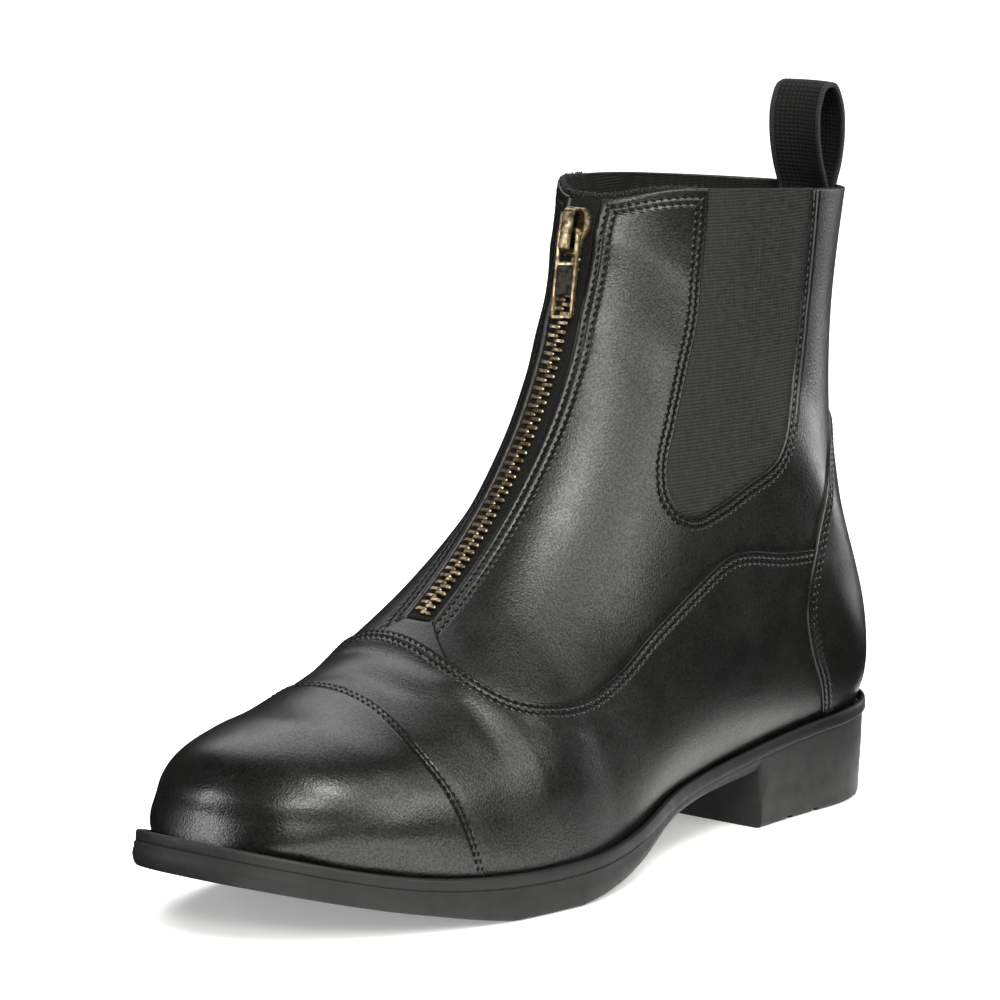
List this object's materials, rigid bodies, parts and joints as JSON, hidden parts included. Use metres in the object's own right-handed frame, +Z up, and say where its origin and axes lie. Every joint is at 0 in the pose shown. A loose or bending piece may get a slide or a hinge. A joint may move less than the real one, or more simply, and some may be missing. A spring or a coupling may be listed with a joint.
{
  "type": "ankle boot",
  "caption": "Left leather ankle boot with a zip up the front, elastic gussets at the sides, a capped toe, a webbing pull loop at the back and a moulded rubber sole with a low block heel.",
  "frame": {"origin": "on the floor under the middle of the boot's bounding box", "axes": "+X towards the toe, +Y to the outer side of the left foot, +Z up"},
  "size_m": [0.28, 0.103, 0.2204],
  "materials": {
    "sole_rubber": "matte moulded rubber",
    "welt_rubber": "satin moulded rubber",
    "sock_fabric": "soft textile",
    "upper_leather": "semi-gloss smooth leather",
    "cap_leather": "polished smooth leather",
    "vamp_leather": "semi-gloss smooth leather",
    "counter_leather": "semi-gloss smooth leather",
    "elastic": "ribbed elastic webbing",
    "zip_tape": "woven tape",
    "zip_brass": "antique brass teeth",
    "slider_brass": "antique brass",
    "pull_brass": "antique brass",
    "webbing": "woven webbing"
  },
  "bodies": {
    "boot": {"outsole": "sole_rubber", "welt": "welt_rubber", "insole": "sock_fabric", "upper": "upper_leather", "toe_cap": "cap_leather", "vamp": "vamp_leather", "heel_counter": "counter_leather", "gusset_lateral": "elastic", "gusset_medial": "elastic", "zip_tape": "zip_tape", "zip_chain": "zip_brass", "zip_slider": "slider_brass", "pull_loop": "webbing"},
    "zip_pull": {"zip_pull": "pull_brass"}
  },
  "joints": [
    {"name": "zip_pull_swing", "type": "hinge", "parent": "boot", "child": "zip_pull", "pos_m": [-0.02018, -0.00344, 0.18266], "axis": [0, -1, 0], "range_deg": [0, 150]}
  ]
}
